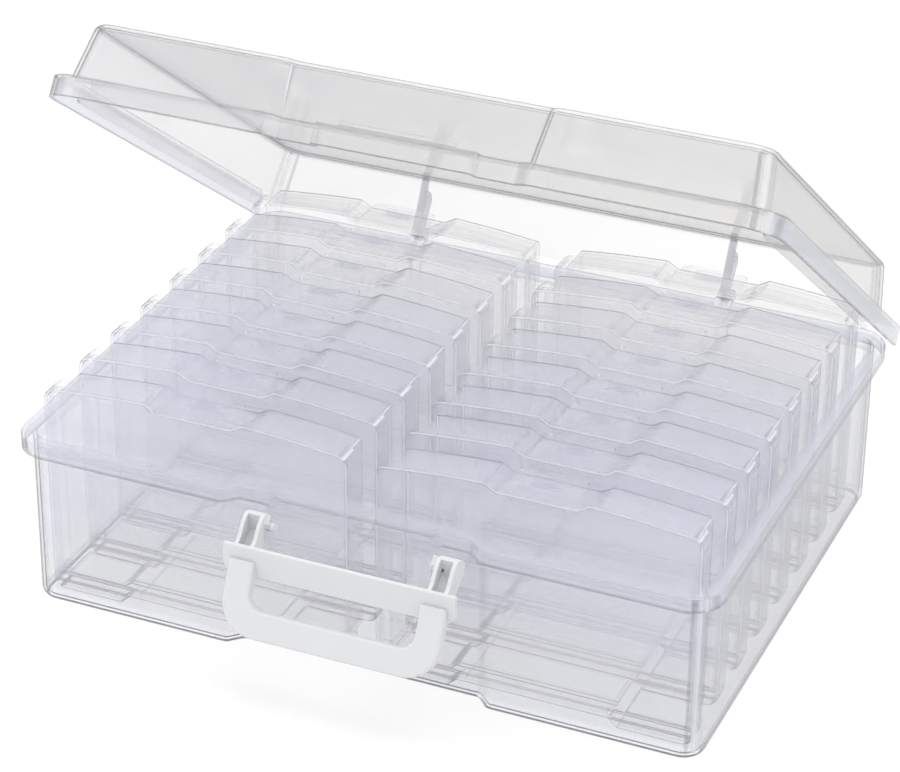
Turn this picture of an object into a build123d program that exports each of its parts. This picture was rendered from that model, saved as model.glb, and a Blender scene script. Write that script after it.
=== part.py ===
from build123d import *
import math
import os

# Photo keeper case: a clear tub with a hinged lid, a carrying handle and sixteen inner
# print cases in two columns. Millimetres, +X right, +Y back, +Z up. The origin is on the
# ground at the middle of the tub's footprint. The lid is built closed and then opened.

# ---- inner cases ----
CASE_HALF = 84.1            # half-width
CASE_RISE = 5.1             # crown above the corners
CASE_SHOULDER_IN = 3.1      # the corners' height is taken this far inside the side
CASE_HEADROOM = 2.4         # crown to the underside of the closed lid
CASE_FOOT_GAP = 0.3         # above the tub's floor
CASE_CORNER_R = 6.5
CASE_CORNER_R_MIN = 1.5
CASE_BEND_R = 2.5           # rounding of the finger dip and the foot arch
CASE_ARCH_H = 4.6           # the foot line is raised between the two feet
CASE_ARCH_IN = 40.0
CASE_ARCH_RUN = 5.0
CASE_DIP = 4.4              # finger dip in the middle of the top edge
CASE_DIP_IN = 21.3
CASE_DIP_RUN = 7.4
CASE_DEPTH = 29.5
CASE_T = 1.4
COVER_DEPTH = 12.0
COVER_FLANGE = 4.2          # front to back
COVER_EDGE_R = 1.6
BODY_IN = 4.6               # body's outline inside the cover's
BODY_FIT = 0.15             # play of the body in the cover's flange
BODY_NOSE = 3.4             # how far the body reaches into the flange
BODY_EDGE_R = 1.6
TAB_HALF = 18.5
TAB_END_IN = 2.5            # tab's end in front of the body's back
TAB_T = 1.2
TAB_R = 5.0
TAB_WINDOW_HALF = 10.0
TAB_WINDOW_IN = 7.0         # window's front edge in front of the tab's end
TAB_WINDOW_D = 3.6
CATCH_GAP = 0.4
ROWS = 8
FIRST_ROW_GAP = 0.9         # behind the bay's wall
FIRST_STEP_GAP = 6.6        # between the first row and the second
ROW_GAP = 3.5               # between the others
LAST_ROW_GAP = 2.9          # in front of the back wall
AISLE_HALF = 7.4            # between the two columns
SIDE_GAP = 4.6              # between a column and the side wall

# ---- tub ----
TUB_H = 97.0
WALL = 1.8
FLOOR = 2.0
TUB_CORNER_R = 12.0
TUB_BOTTOM_R = 5.0
RECESS_DEPTH = 7.0          # shallow bay in the middle of the front wall
RECESS_HALF_IN = 64.0       # half-width on the bay's own wall
RECESS_JOG = 7.0            # the bay is this much wider, each side, at the main front wall
RECESS_HALF_OUT = RECESS_HALF_IN + RECESS_JOG
RECESS_R = 3.0              # rounding of the bay's jogs
RIM_REACH = 6.0             # rim's outer face stands this far outside the wall
RIM_DROP = 8.0
RIM_T = 1.8
RIM_EDGE_R = 1.0
RIM_END_X = 43.5            # the rim stops here on each side of the latch bay
FLOOR_RIB_IN = 2.5          # inside the case's foot
FLOOR_RIB_W = 2.4
FLOOR_RIB_H = 2.5
FLOOR_RIB_END_GAP = 12.0

# ---- ears that carry the handle ----
EAR_T = 2.5
EAR_REACH = 11.0            # in front of the bay's wall
EAR_TOP_REACH = 7.6         # under the lid's skirt
EAR_LOW = 17.0              # below the pivot
EAR_R = 4.5
PIVOT_REACH = 6.5           # pivot axis in front of the bay's wall
PIVOT_DROP = 19.5           # below the rim's top
PIN_R = 2.2
PIN_RUN = 0.08              # running clearance of a pin in its hole
PIN_SNUG = 0.02             # clearance of a pin in the piece that keeps it
PIN_TIP = 1.5               # how far a handle pin shows past the ear

# ---- lid ----
LID_T = 1.8
LID_GAP_SIDE = 0.8          # between the rim and the lid's skirt
LID_GAP_TOP = 0.4           # between the rim and the lid's ledge
LID_SKIRT_DROP = 8.9        # below the rim's top
LID_RISE = 32.7             # closed height of the lid's top face above the rim
LID_SHELL_IN_X = 8.0        # shell's foot inside the skirt's outer face, at the sides
LID_SHELL_IN_Y = 7.5        # and at the front
LID_SHELL_BEHIND = 4.5      # shell's foot behind the tub's back wall
LID_TAPER = 8.0             # degrees
LID_TOP_R = 5.0
LID_CORNER_R = 13.0
LID_BAY_DEPTH = 5.5         # bay in the skirt, for the handle
LID_BAY_IN = 61.0
LID_BAY_OUT = 68.0
LID_SHELL_BAY = 3.5         # shallower bay in the shell's front
LID_SHELL_BAY_IN = 64.0
LID_SHELL_BAY_OUT = 66.5
CATCH_IN = 1.5              # block between the rim's ends, inside them
CATCH_RIB_HALF = 30.0
CATCH_RIB_H = 2.6
CATCH_RIB_T = 2.6
LOCATOR_T = 1.4             # inner rib that centres the lid in the tub
LOCATOR_GAP = 0.8
LOCATOR_DROP = 8.0
LOCATOR_FROM_BAY = 4.0
LOCATOR_R = 4.0
LOCATOR_REAR_IN = 21.0      # in front of the tub's back wall
OPEN_ANGLE = 36.6           # lid's opening in the modelled pose

# ---- lid hinges, one behind each column ----
HINGE_BEHIND = 4.5          # axis behind the rim
LUG_R = 4.0
LUG_T = 2.6
LUG_ROOT = 1.0              # extra depth of a lug where it meets the rim
GUSSET_LEN = 51.0           # rib under a lug, down the back wall
GUSSET_REACH = 1.2
ARM_W = 2.8
ARM_GAP = 0.3
ARM_R = 4.0
ARM_TOP = 24.0              # above the axis
ARM_REAR = 2.2              # behind the axis
ARM_CORNER_R = 6.0
ARM_SEAT = 0.9              # how far the arm reaches into the lid's wall

# ---- handle ----
BAR_HALF = 62.0
BAR_FRONT = 17.5            # bar's front face in front of the pivot
BAR_T = 2.4
BAR_TOP = 3.6               # below the pivot
BAR_H = 15.6
BAR_R = 6.0                 # its two lower corners
HANDLE_GAP = 0.3
HANDLE_ARM_W = 10.7
HANDLE_ARM_R = 5.9
HANDLE_ARM_CREST = 7.0      # arm's top above the pivot
HANDLE_BROW = 1.1           # arm's outline in front of the pivot, in knuckle radii
HANDLE_BROW_UP = 0.8        # and above it there
HANDLE_WAIST = 1.75         # in front of the pivot, level with it
HANDLE_HEEL = 0.7           # behind and below the pivot
HANDLE_SKIN = 2.0
GRIP_HALF = 58.0
GRIP_HOLE_HALF = 44.5
GRIP_LEAN = 24.0            # degrees forward of hanging straight down
GRIP_LEN = 29.6
GRIP_BAR = 14.0
GRIP_T = 6.6
GRIP_R = 18.0
GRIP_HOLE_R = 8.0
GRIP_EDGE_R = 1.2

COLUMN_X = AISLE_HALF + CASE_HALF
ROW_PITCH = CASE_DEPTH + ROW_GAP
FIRST_STEP = CASE_DEPTH + FIRST_STEP_GAP
ROWS_LEN = FIRST_ROW_GAP + FIRST_STEP + (ROWS - 2) * ROW_PITCH + CASE_DEPTH + LAST_ROW_GAP
TUB_HALF_X = COLUMN_X + CASE_HALF + SIDE_GAP + WALL
TUB_HALF_Y = (RECESS_DEPTH + WALL + ROWS_LEN + WALL) / 2
BAY_WALL_Y = -(TUB_HALF_Y - RECESS_DEPTH)
FIRST_ROW_Y = BAY_WALL_Y + WALL + FIRST_ROW_GAP
RIM_OUT_Y = TUB_HALF_Y + RIM_REACH
PIVOT_Y = BAY_WALL_Y - PIVOT_REACH
PIVOT_Z = TUB_H - PIVOT_DROP
HINGE_X = COLUMN_X
HINGE_Y = RIM_OUT_Y + HINGE_BEHIND
HINGE_Z = TUB_H
SKIRT_OUT = RIM_REACH + LID_GAP_SIDE + LID_T
SKIRT_OUT_X = TUB_HALF_X + SKIRT_OUT
SKIRT_OUT_Y = TUB_HALF_Y + SKIRT_OUT
LEDGE_Z = TUB_H + LID_GAP_TOP
LID_TOP = TUB_H + LID_RISE
LID_SHELL_REAR = TUB_HALF_Y + LID_SHELL_BEHIND
CASE_CROWN = LID_TOP - LID_T - CASE_HEADROOM
CASE_ARCH_OUT = CASE_ARCH_IN + CASE_ARCH_RUN
CASE_DIP_OUT = CASE_DIP_IN + CASE_DIP_RUN
TAB_END = CASE_DEPTH - TAB_END_IN
TAB_WINDOW_AT = TAB_END - TAB_WINDOW_IN
CLEAR = 1.0                 # how far a cutting shape runs past what it cuts
FAR = 1000.0


def bay_outline(half_x, front, rear, depth, bay_in, bay_out):
    """Rectangle with a bay in its front edge, as a face on the ground."""
    points = [
        (-half_x, -front),
        (-bay_out, -front),
        (-bay_in, depth - front),
        (bay_in, depth - front),
        (bay_out, -front),
        (half_x, -front),
        (half_x, rear),
        (-half_x, rear),
    ]
    return make_face(Polyline(*points, close=True))


def rounded(face, corner_r, bay_r, half_x):
    """Round the four outer corners by corner_r and the bay's jogs by bay_r."""
    corners = [v for v in face.vertices() if abs(v.X) > half_x * 0.9]
    face = fillet(corners, corner_r)
    jogs = [v for v in face.vertices() if abs(v.X) < half_x * 0.5]
    return fillet(jogs, bay_r)


def tub_plan(grow, corner_r, jog_r):
    base = bay_outline(
        TUB_HALF_X, TUB_HALF_Y, TUB_HALF_Y, RECESS_DEPTH, RECESS_HALF_IN, RECESS_HALF_OUT
    )
    grown = offset(base, amount=grow, kind=Kind.INTERSECTION) if grow else base
    return rounded(grown, corner_r, jog_r, TUB_HALF_X)


def slab(face, z, height):
    return Pos(0, 0, z) * extrude(face, amount=height)


def block(x0, x1, y0, y1, z0, z1):
    mid = Pos((x0 + x1) / 2, (y0 + y1) / 2, (z0 + z1) / 2)
    return mid * Box(x1 - x0, y1 - y0, z1 - z0)


def across(points, x0, x1):
    """Closed (y, z) outline, straight across from x0 to x1."""
    face = make_face(Polyline(*[(x0, y, z) for y, z in points], close=True))
    return extrude(face, amount=x1 - x0, dir=(1, 0, 0))


def rod(x0, x1, y, z, radius):
    return Pos((x0 + x1) / 2, y, z) * Rot(0, 90, 0) * Cylinder(radius, x1 - x0)


def make_ear(side):
    inner = min(side * RIM_END_X, side * (RIM_END_X + EAR_T))
    low = PIVOT_Z - EAR_LOW
    front = BAY_WALL_Y - EAR_REACH
    step = EAR_REACH - EAR_TOP_REACH
    outline = [
        (BAY_WALL_Y + WALL / 2, low),
        (front, low),
        (front, TUB_H - LID_SKIRT_DROP - 2 * step),
        (front + step, TUB_H - LID_SKIRT_DROP - step),
        (front + step, TUB_H - RIM_T / 2),
        (BAY_WALL_Y + WALL / 2, TUB_H - RIM_T / 2),
    ]
    plate = across(outline, inner, inner + EAR_T)
    edge = plate.edges().filter_by(Axis.X).group_by(Axis.Z)[0].sort_by(Axis.Y)[0]
    plate = fillet(edge, EAR_R)
    return plate - rod(inner - CLEAR, inner + EAR_T + CLEAR, PIVOT_Y, PIVOT_Z, PIN_R + PIN_RUN)


def make_lugs(side):
    """Two lugs on the back of the rim that hold one lid pin, with ribs down the wall."""
    out = []
    half = ARM_W / 2 + ARM_GAP
    for x0 in (side * HINGE_X - half - LUG_T, side * HINGE_X + half):
        x1 = x0 + LUG_T
        root = [
            (RIM_OUT_Y - RIM_T, HINGE_Z - LUG_R - LUG_ROOT),
            (HINGE_Y, HINGE_Z - LUG_R),
            (HINGE_Y, HINGE_Z + LUG_R),
            (RIM_OUT_Y - RIM_T, HINGE_Z),
        ]
        rib = [
            (TUB_HALF_Y - WALL / 2, TUB_H - GUSSET_LEN),
            (TUB_HALF_Y + GUSSET_REACH, TUB_H - GUSSET_LEN),
            (RIM_OUT_Y - RIM_T / 2, TUB_H - RIM_DROP),
            (RIM_OUT_Y - RIM_T / 2, TUB_H - RIM_T / 2),
            (TUB_HALF_Y - WALL / 2, TUB_H - RIM_T / 2),
        ]
        lug = across(root, x0, x1) + rod(x0, x1, HINGE_Y, HINGE_Z, LUG_R) + across(rib, x0, x1)
        out.append(lug - rod(x0 - CLEAR, x1 + CLEAR, HINGE_Y, HINGE_Z, PIN_R + PIN_SNUG))
    return out


def make_tub():
    outer = slab(tub_plan(0, TUB_CORNER_R, RECESS_R), 0, TUB_H)
    outer = fillet(outer.edges().group_by(Axis.Z)[0], TUB_BOTTOM_R)
    cavity = slab(tub_plan(-WALL, TUB_CORNER_R - WALL, RECESS_R), FLOOR, TUB_H)
    cavity = fillet(cavity.edges().group_by(Axis.Z)[0], TUB_BOTTOM_R - WALL)
    rim_r = TUB_CORNER_R + RIM_REACH
    rim = slab(tub_plan(RIM_REACH, rim_r, RECESS_R), TUB_H - RIM_DROP, RIM_DROP)
    rim = fillet(rim.edges().group_by(Axis.Z)[-1], RIM_EDGE_R)
    hollow = slab(
        tub_plan(RIM_REACH - RIM_T, rim_r - RIM_T, RECESS_R), TUB_H - RIM_DROP, RIM_DROP - RIM_T
    )
    rim = rim - hollow
    gate = block(
        -RIM_END_X, RIM_END_X, -FAR, BAY_WALL_Y, TUB_H - RIM_DROP - CLEAR, TUB_H + CLEAR
    )
    rim = rim - gate
    tub = outer + rim - cavity
    for side in (-1, 1):
        tub += make_ear(side)
        for lug in make_lugs(side):
            tub += lug
        for rib_side in (-1, 1):
            x = side * COLUMN_X + rib_side * (CASE_ARCH_IN - FLOOR_RIB_IN)
            tub += block(
                x - FLOOR_RIB_W / 2,
                x + FLOOR_RIB_W / 2,
                BAY_WALL_Y + FLOOR_RIB_END_GAP,
                TUB_HALF_Y - FLOOR_RIB_END_GAP,
                FLOOR / 2,
                FLOOR + FLOOR_RIB_H,
            )
    return tub


def make_shell_block(inset, top):
    """The raised part of the lid, solid, from the ledge to top, its sides leaning in."""
    base = bay_outline(
        SKIRT_OUT_X - LID_SHELL_IN_X,
        SKIRT_OUT_Y - LID_SHELL_IN_Y,
        LID_SHELL_REAR,
        LID_SHELL_BAY,
        LID_SHELL_BAY_IN,
        LID_SHELL_BAY_OUT,
    )
    face = offset(base, amount=-inset, kind=Kind.INTERSECTION) if inset else base
    solid = Pos(0, 0, LEDGE_Z) * extrude(face, amount=top - LEDGE_Z, taper=LID_TAPER)
    upright_edges = [e for e in solid.edges() if abs(e.tangent_at(0.5).Z) > 0.5]
    corners = [e for e in upright_edges if abs(e.center().X) > TUB_HALF_X * 0.9]
    solid = fillet(corners, LID_CORNER_R - inset)
    return fillet(solid.edges().group_by(Axis.Z)[-1], LID_TOP_R - inset)


def lid_skirt_plan(grow, corner_r, bay_r):
    base = bay_outline(
        SKIRT_OUT_X, SKIRT_OUT_Y, 2 * SKIRT_OUT_Y, LID_BAY_DEPTH, LID_BAY_IN, LID_BAY_OUT
    )
    catch_w = 2 * (RIM_END_X - CATCH_IN)
    catch = Pos(0, -SKIRT_OUT_Y + LID_BAY_DEPTH) * Rectangle(catch_w, 2 * LID_BAY_DEPTH)
    base = base + catch
    face = offset(base, amount=-grow, kind=Kind.INTERSECTION) if grow else base
    corners = [v for v in face.vertices() if abs(v.X) > TUB_HALF_X * 0.9]
    face = fillet(corners, corner_r)
    jogs = [v for v in face.vertices() if abs(v.X) < TUB_HALF_X * 0.5]
    return fillet(jogs, bay_r)


def make_locator(side):
    """Ribs under the front and one side of the ledge, just inside the tub's wall."""
    front = -(TUB_HALF_Y - WALL - LOCATOR_GAP)
    edge = TUB_HALF_X - WALL - LOCATOR_GAP
    low = LEDGE_Z - LOCATOR_DROP
    high = LEDGE_Z + LID_T
    start = RECESS_HALF_OUT + LOCATOR_FROM_BAY
    rear = TUB_HALF_Y - LOCATOR_REAR_IN
    x0, x1 = sorted((side * start, side * (edge - TUB_CORNER_R)))
    bar = block(x0, x1, front, front + LOCATOR_T, low, high)
    bar = fillet(bar.edges().filter_by(Axis.Y).group_by(Axis.Z)[0], LOCATOR_R)
    bar += block(x0, x1, -SKIRT_OUT_Y + LID_SHELL_IN_Y, front + LOCATOR_T, LEDGE_Z, high)
    x0, x1 = sorted((side * edge, side * (edge - LOCATOR_T)))
    y0 = front + TUB_CORNER_R
    strip = block(x0, x1, y0, rear, low, high)
    strip = fillet(strip.edges().filter_by(Axis.X).group_by(Axis.Z)[0], LOCATOR_R)
    x0, x1 = sorted((side * (SKIRT_OUT_X - LID_SHELL_IN_X), side * (edge - LOCATOR_T)))
    strip += block(x0, x1, y0, rear, LEDGE_Z, high)
    return [bar, strip]


def make_hinge_arm(side):
    """Plate from the lid's back wall down to the knuckle on the hinge pin."""
    x0 = side * HINGE_X - ARM_W / 2
    x1 = side * HINGE_X + ARM_W / 2
    lean = math.tan(math.radians(LID_TAPER))
    seat = LID_SHELL_REAR - ARM_SEAT
    foot = LEDGE_Z + LID_T / 2
    top = HINGE_Z + ARM_TOP
    plate = [
        (HINGE_Y + ARM_REAR, HINGE_Z),
        (HINGE_Y + ARM_REAR, top),
        (seat - (top - LEDGE_Z) * lean, top),
        (seat - (foot - LEDGE_Z) * lean, foot),
        (HINGE_Y - ARM_R, foot),
        (HINGE_Y - ARM_R, HINGE_Z),
    ]
    arm = across(plate, x0, x1)
    crest = arm.edges().filter_by(Axis.X).group_by(Axis.Z)[-1].sort_by(Axis.Y)[-1]
    arm = fillet(crest, ARM_CORNER_R) + rod(x0, x1, HINGE_Y, HINGE_Z, ARM_R)
    return arm - rod(x0 - CLEAR, x1 + CLEAR, HINGE_Y, HINGE_Z, PIN_R + PIN_RUN)


def make_lid_closed():
    bottom = TUB_H - LID_SKIRT_DROP
    ledge_top = LEDGE_Z + LID_T
    corner = TUB_CORNER_R + SKIRT_OUT
    skirt = slab(lid_skirt_plan(0, corner, RECESS_R / 2), bottom, ledge_top - bottom)
    skirt = fillet(skirt.edges().group_by(Axis.Z)[-1], RIM_EDGE_R)
    inside = slab(lid_skirt_plan(LID_T, corner - LID_T, RECESS_R / 2), bottom, LEDGE_Z - bottom)
    skirt = skirt - inside
    back = LID_SHELL_REAR + RIM_EDGE_R
    skirt = skirt - block(-FAR, FAR, back, FAR, 0, FAR)
    rear_cut = block(
        -SKIRT_OUT_X + LID_T, SKIRT_OUT_X - LID_T, LID_SHELL_REAR, FAR, 0, FAR
    )
    skirt = skirt - rear_cut
    shell = make_shell_block(0, LID_TOP)
    hollow = make_shell_block(LID_T, LID_TOP - LID_T)
    lid = skirt + shell - hollow
    rib = block(
        -CATCH_RIB_HALF,
        CATCH_RIB_HALF,
        -SKIRT_OUT_Y + RIM_EDGE_R,
        -SKIRT_OUT_Y + RIM_EDGE_R + CATCH_RIB_T,
        ledge_top - LID_T / 2,
        ledge_top + CATCH_RIB_H,
    )
    lid += rib
    for side in (-1, 1):
        lid += make_hinge_arm(side)
        for locator in make_locator(side):
            lid += locator
    return lid


def opened(shape):
    """Turn a piece of the closed lid about the hinge axis to the modelled pose."""
    at = Pos(0, HINGE_Y, HINGE_Z)
    return at * Rot(-OPEN_ANGLE, 0, 0) * Pos(0, -HINGE_Y, -HINGE_Z) * shape


def swept_side():
    """Side view of a handle arm in (y, z), from pivot to bar."""
    front = PIVOT_Y - BAR_FRONT
    top = PIVOT_Z - BAR_TOP
    crest = (PIVOT_Y - HANDLE_SKIN / 2, PIVOT_Z + HANDLE_ARM_CREST)
    brow = (PIVOT_Y - HANDLE_BROW * HANDLE_ARM_R, PIVOT_Z + HANDLE_BROW_UP * HANDLE_ARM_R)
    waist = (PIVOT_Y - HANDLE_WAIST * HANDLE_ARM_R, PIVOT_Z)
    foot = (front + BAR_T / 2, top)
    sweep = Spline(crest, brow, waist, foot, tangents=((-1, 0), (-1, 0)))
    heel = (PIVOT_Y + HANDLE_HEEL * HANDLE_ARM_R, PIVOT_Z - HANDLE_HEEL * HANDLE_ARM_R)
    low = (front + BAR_T, top - BAR_H + BAR_T)
    rest = Polyline(foot, (front + BAR_T / 2, low[1]), low, heel, crest)
    return make_face([sweep, rest])


def make_handle_arm(side):
    """Hollow arm between pivot and bar, open to the front between two swept walls."""
    x_in = RIM_END_X + EAR_T + HANDLE_GAP
    x0, x1 = sorted((side * x_in, side * (x_in + HANDLE_ARM_W)))
    arm = extrude(Plane.YZ.offset(x0) * swept_side(), amount=x1 - x0)
    arm += rod(x0, x1, PIVOT_Y, PIVOT_Z, HANDLE_ARM_R)
    well = [
        (PIVOT_Y - HANDLE_SKIN, PIVOT_Z - HANDLE_ARM_R / 2),
        (PIVOT_Y - HANDLE_SKIN, PIVOT_Z + HANDLE_ARM_R / 2),
        (PIVOT_Y - 2 * HANDLE_SKIN, PIVOT_Z + 2 * HANDLE_ARM_R),
        (PIVOT_Y - BAR_FRONT + BAR_T, PIVOT_Z + 2 * HANDLE_ARM_R),
        (PIVOT_Y - BAR_FRONT + BAR_T, PIVOT_Z - BAR_TOP - BAR_H / 2),
    ]
    return arm - across(well, x0 + HANDLE_SKIN, x1 - HANDLE_SKIN)


def make_handle():
    front = PIVOT_Y - BAR_FRONT
    top = PIVOT_Z - BAR_TOP
    bar = block(-BAR_HALF, BAR_HALF, front, front + BAR_T, top - BAR_H, top)
    low = bar.edges().filter_by(Axis.Y).group_by(Axis.Z)[0]
    bar = fillet(low, BAR_R)
    plane = Plane(
        origin=(0, front + BAR_T / 2, top - BAR_H / 2),
        x_dir=(1, 0, 0),
        z_dir=Vector(0, -1, 0).rotate(Axis.X, -GRIP_LEAN),
    )
    reach = GRIP_LEN + BAR_H / 2
    outline = Pos(0, -reach / 2) * Rectangle(2 * GRIP_HALF, reach)
    outline = fillet(outline.vertices().group_by(Axis.Y)[0], GRIP_R)
    hole_h = reach - GRIP_BAR
    hole = Pos(0, -hole_h / 2) * Rectangle(2 * GRIP_HOLE_HALF, hole_h)
    hole = fillet(hole.vertices().group_by(Axis.Y)[0], GRIP_HOLE_R)
    grip = extrude(plane * (outline - hole), amount=GRIP_T / 2, both=True)
    rims = [e for e in grip.edges() if abs(e.tangent_at(0.5).dot(plane.z_dir)) < 0.5]
    upper = plane.origin.Z - GRIP_T
    grip = fillet([e for e in rims if e.center().Z < upper], GRIP_EDGE_R)
    handle = bar + grip
    for side in (-1, 1):
        handle += make_handle_arm(side)
    for side in (-1, 1):
        x_in = side * (RIM_END_X + EAR_T)
        x_far = x_in + side * (HANDLE_GAP + HANDLE_SKIN + CLEAR)
        x0, x1 = sorted((x_in, x_far))
        handle -= rod(x0, x1, PIVOT_Y, PIVOT_Z, PIN_R + PIN_SNUG)
    return handle


def make_handle_pin(side):
    tip = side * (RIM_END_X - PIN_TIP)
    root = side * (RIM_END_X + EAR_T + HANDLE_GAP + HANDLE_SKIN)
    return rod(min(tip, root), max(tip, root), PIVOT_Y, PIVOT_Z, PIN_R)


def make_lid_pin(side):
    half = ARM_W / 2 + ARM_GAP + LUG_T
    return rod(side * HINGE_X - half, side * HINGE_X + half, HINGE_Y, HINGE_Z, PIN_R)


def case_outline(inset):
    """Front outline of an inner case, drawn in (x, z) and moved in by inset."""
    shoulder = CASE_HALF - CASE_SHOULDER_IN
    radius = (shoulder**2 + CASE_RISE**2) / (2 * CASE_RISE)
    radius_in = radius - inset
    centre = CASE_CROWN - radius
    half = CASE_HALF - inset
    foot = FLOOR + CASE_FOOT_GAP + inset

    def crown(x):
        return centre + math.sqrt(radius_in**2 - x**2)

    lean = (CASE_DIP_OUT - CASE_DIP_IN) / CASE_DIP
    shift = inset * (math.hypot(1, lean) - lean)
    dip_in = CASE_DIP_IN + shift
    dip_z = CASE_CROWN - CASE_DIP - inset
    dip_out = dip_in + (crown(CASE_DIP_OUT) - dip_z) * lean
    arch_lean = (CASE_ARCH_OUT - CASE_ARCH_IN) / CASE_ARCH_H
    arch_shift = inset * (math.hypot(1, arch_lean) - arch_lean)
    arch_in = CASE_ARCH_IN + arch_shift
    arch_out = CASE_ARCH_OUT + arch_shift
    pieces = []
    for side in (-1, 1):
        mid = (half + dip_out) / 2
        arc = ThreePointArc(
            (side * half, crown(half)), (side * mid, crown(mid)), (side * dip_out, crown(dip_out))
        )
        pieces.append(arc)
        path = [
            (side * dip_out, crown(dip_out)),
            (side * dip_in, dip_z),
            (0, dip_z),
        ]
        pieces.append(Polyline(*path))
        path = [
            (side * half, crown(half)),
            (side * half, foot),
            (side * arch_out, foot),
            (side * arch_in, foot + CASE_ARCH_H),
            (0, foot + CASE_ARCH_H),
        ]
        pieces.append(Polyline(*path))
    face = make_face(pieces)
    outer = [v for v in face.vertices() if abs(v.X) > half - 1]
    face = fillet(outer, max(CASE_CORNER_R - inset, CASE_CORNER_R_MIN))
    inner = [v for v in face.vertices() if 1 < abs(v.X) < CASE_HALF * 0.6]
    return fillet(inner, CASE_BEND_R)


def upright(face, y, depth):
    """Stand an (x, z) outline up at y and give it a depth towards the back."""
    solid = extrude(Plane.XZ * face, amount=-depth)
    return Pos(0, y, 0) * solid


def make_cover():
    """Front half of an inner case: a shallow tray with a thick flange and a latch tab."""
    shell = upright(case_outline(0), 0, COVER_DEPTH)
    shell = fillet(shell.edges().group_by(Axis.Y)[0], COVER_EDGE_R)
    shell -= upright(case_outline(CASE_T), CASE_T, COVER_DEPTH - CASE_T - COVER_FLANGE)
    shell -= upright(case_outline(BODY_IN - BODY_FIT), COVER_DEPTH - COVER_FLANGE, COVER_FLANGE)
    dip_z = CASE_CROWN - CASE_DIP
    tab = block(-TAB_HALF, TAB_HALF, COVER_DEPTH - TAB_T, TAB_END, dip_z - TAB_T, dip_z)
    back = tab.edges().filter_by(Axis.Z).group_by(Axis.Y)[-1]
    tab = fillet(back, TAB_R)
    tab -= block(
        -TAB_WINDOW_HALF,
        TAB_WINDOW_HALF,
        TAB_WINDOW_AT,
        TAB_WINDOW_AT + TAB_WINDOW_D,
        dip_z - 2 * TAB_T,
        dip_z + TAB_T,
    )
    return shell + tab


def make_body():
    """Back half of an inner case: the deeper tray that holds the prints."""
    start = COVER_DEPTH - BODY_NOSE
    depth = CASE_DEPTH - start
    shell = upright(case_outline(BODY_IN), start, depth)
    shell = fillet(shell.edges().group_by(Axis.Y)[-1], BODY_EDGE_R)
    shell -= upright(case_outline(BODY_IN + CASE_T), start, depth - CASE_T)
    dip_z = CASE_CROWN - CASE_DIP - BODY_IN
    catch = block(
        -TAB_WINDOW_HALF + CATCH_GAP,
        TAB_WINDOW_HALF - CATCH_GAP,
        TAB_WINDOW_AT + CATCH_GAP,
        TAB_WINDOW_AT + TAB_WINDOW_D - CATCH_GAP,
        dip_z - CASE_T / 2,
        dip_z + BODY_IN,
    )
    return shell + catch


def row_y(row):
    return FIRST_ROW_Y if row == 0 else FIRST_ROW_Y + FIRST_STEP + (row - 1) * ROW_PITCH


def save(shape, name):
    shape.label = name
    export_step(shape, f"parts/{name}.step")


def main():
    os.makedirs("parts", exist_ok=True)
    save(make_tub(), "tub")
    save(opened(make_lid_closed()), "lid")
    save(make_handle(), "handle")
    cover = make_cover()
    body = make_body()
    for side, word in ((-1, "left"), (1, "right")):
        save(make_handle_pin(side), f"handle_pin_{word}")
        save(make_lid_pin(side), f"lid_hinge_pin_{word}")
        for row in range(ROWS):
            place = Pos(side * COLUMN_X, row_y(row), 0)
            save(place * cover, f"case_cover_{word}_{row + 1}")
            save(place * body, f"case_body_{word}_{row + 1}")


main()
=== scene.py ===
import math
from dataclasses import dataclass

import bpy
from mathutils import Color, Matrix, Vector


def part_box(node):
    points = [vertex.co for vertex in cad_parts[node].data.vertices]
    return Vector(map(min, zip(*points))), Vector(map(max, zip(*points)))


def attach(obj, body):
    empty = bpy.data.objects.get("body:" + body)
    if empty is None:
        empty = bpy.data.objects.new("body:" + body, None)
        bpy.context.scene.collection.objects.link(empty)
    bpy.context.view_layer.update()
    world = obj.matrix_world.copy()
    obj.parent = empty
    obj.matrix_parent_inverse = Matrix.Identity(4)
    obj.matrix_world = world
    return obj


# Looks for a clear photo keeper case: a hinged tub with a white handle and sixteen
# snap-shut inner cases. Metres, in the same frame as the solids.

bl_info = {
    "name": "Photo Keeper Case",
    "version": (1, 0, 0),
    "blender": (4, 5, 0),
    "location": "View3D > Sidebar > Photo Case",
    "description": "Dresses the photo keeper case and sets its studio",
    "category": "Object",
}

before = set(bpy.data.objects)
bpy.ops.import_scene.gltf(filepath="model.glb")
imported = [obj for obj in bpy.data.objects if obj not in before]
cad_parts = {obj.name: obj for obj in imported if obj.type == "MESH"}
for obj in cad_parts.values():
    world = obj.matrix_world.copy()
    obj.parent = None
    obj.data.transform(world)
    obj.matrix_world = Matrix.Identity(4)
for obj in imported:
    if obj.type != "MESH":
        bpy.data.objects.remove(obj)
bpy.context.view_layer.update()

ROWS = 8
SIDES = ("left", "right")
COVER_NODES = [f"case_cover_{side}_{row + 1}" for side in SIDES for row in range(ROWS)]
BODY_NODES = [f"case_body_{side}_{row + 1}" for side in SIDES for row in range(ROWS)]
PIN_NODES = ["lid_hinge_pin_left", "lid_hinge_pin_right"]
HANDLE_NODES = ["handle", "handle_pin_left", "handle_pin_right"]

LID_OPENING = 36.6      # degrees that the modelled lid stands open
LID_HINGE = (0.0, 0.1495, 0.0970)   # the lid turns about a line along X through here
TAB_TOP = 0.1211        # height of a latch tab's upper face
RIDGE_START = 0.0135    # first ridge behind the cover's front plane

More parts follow.
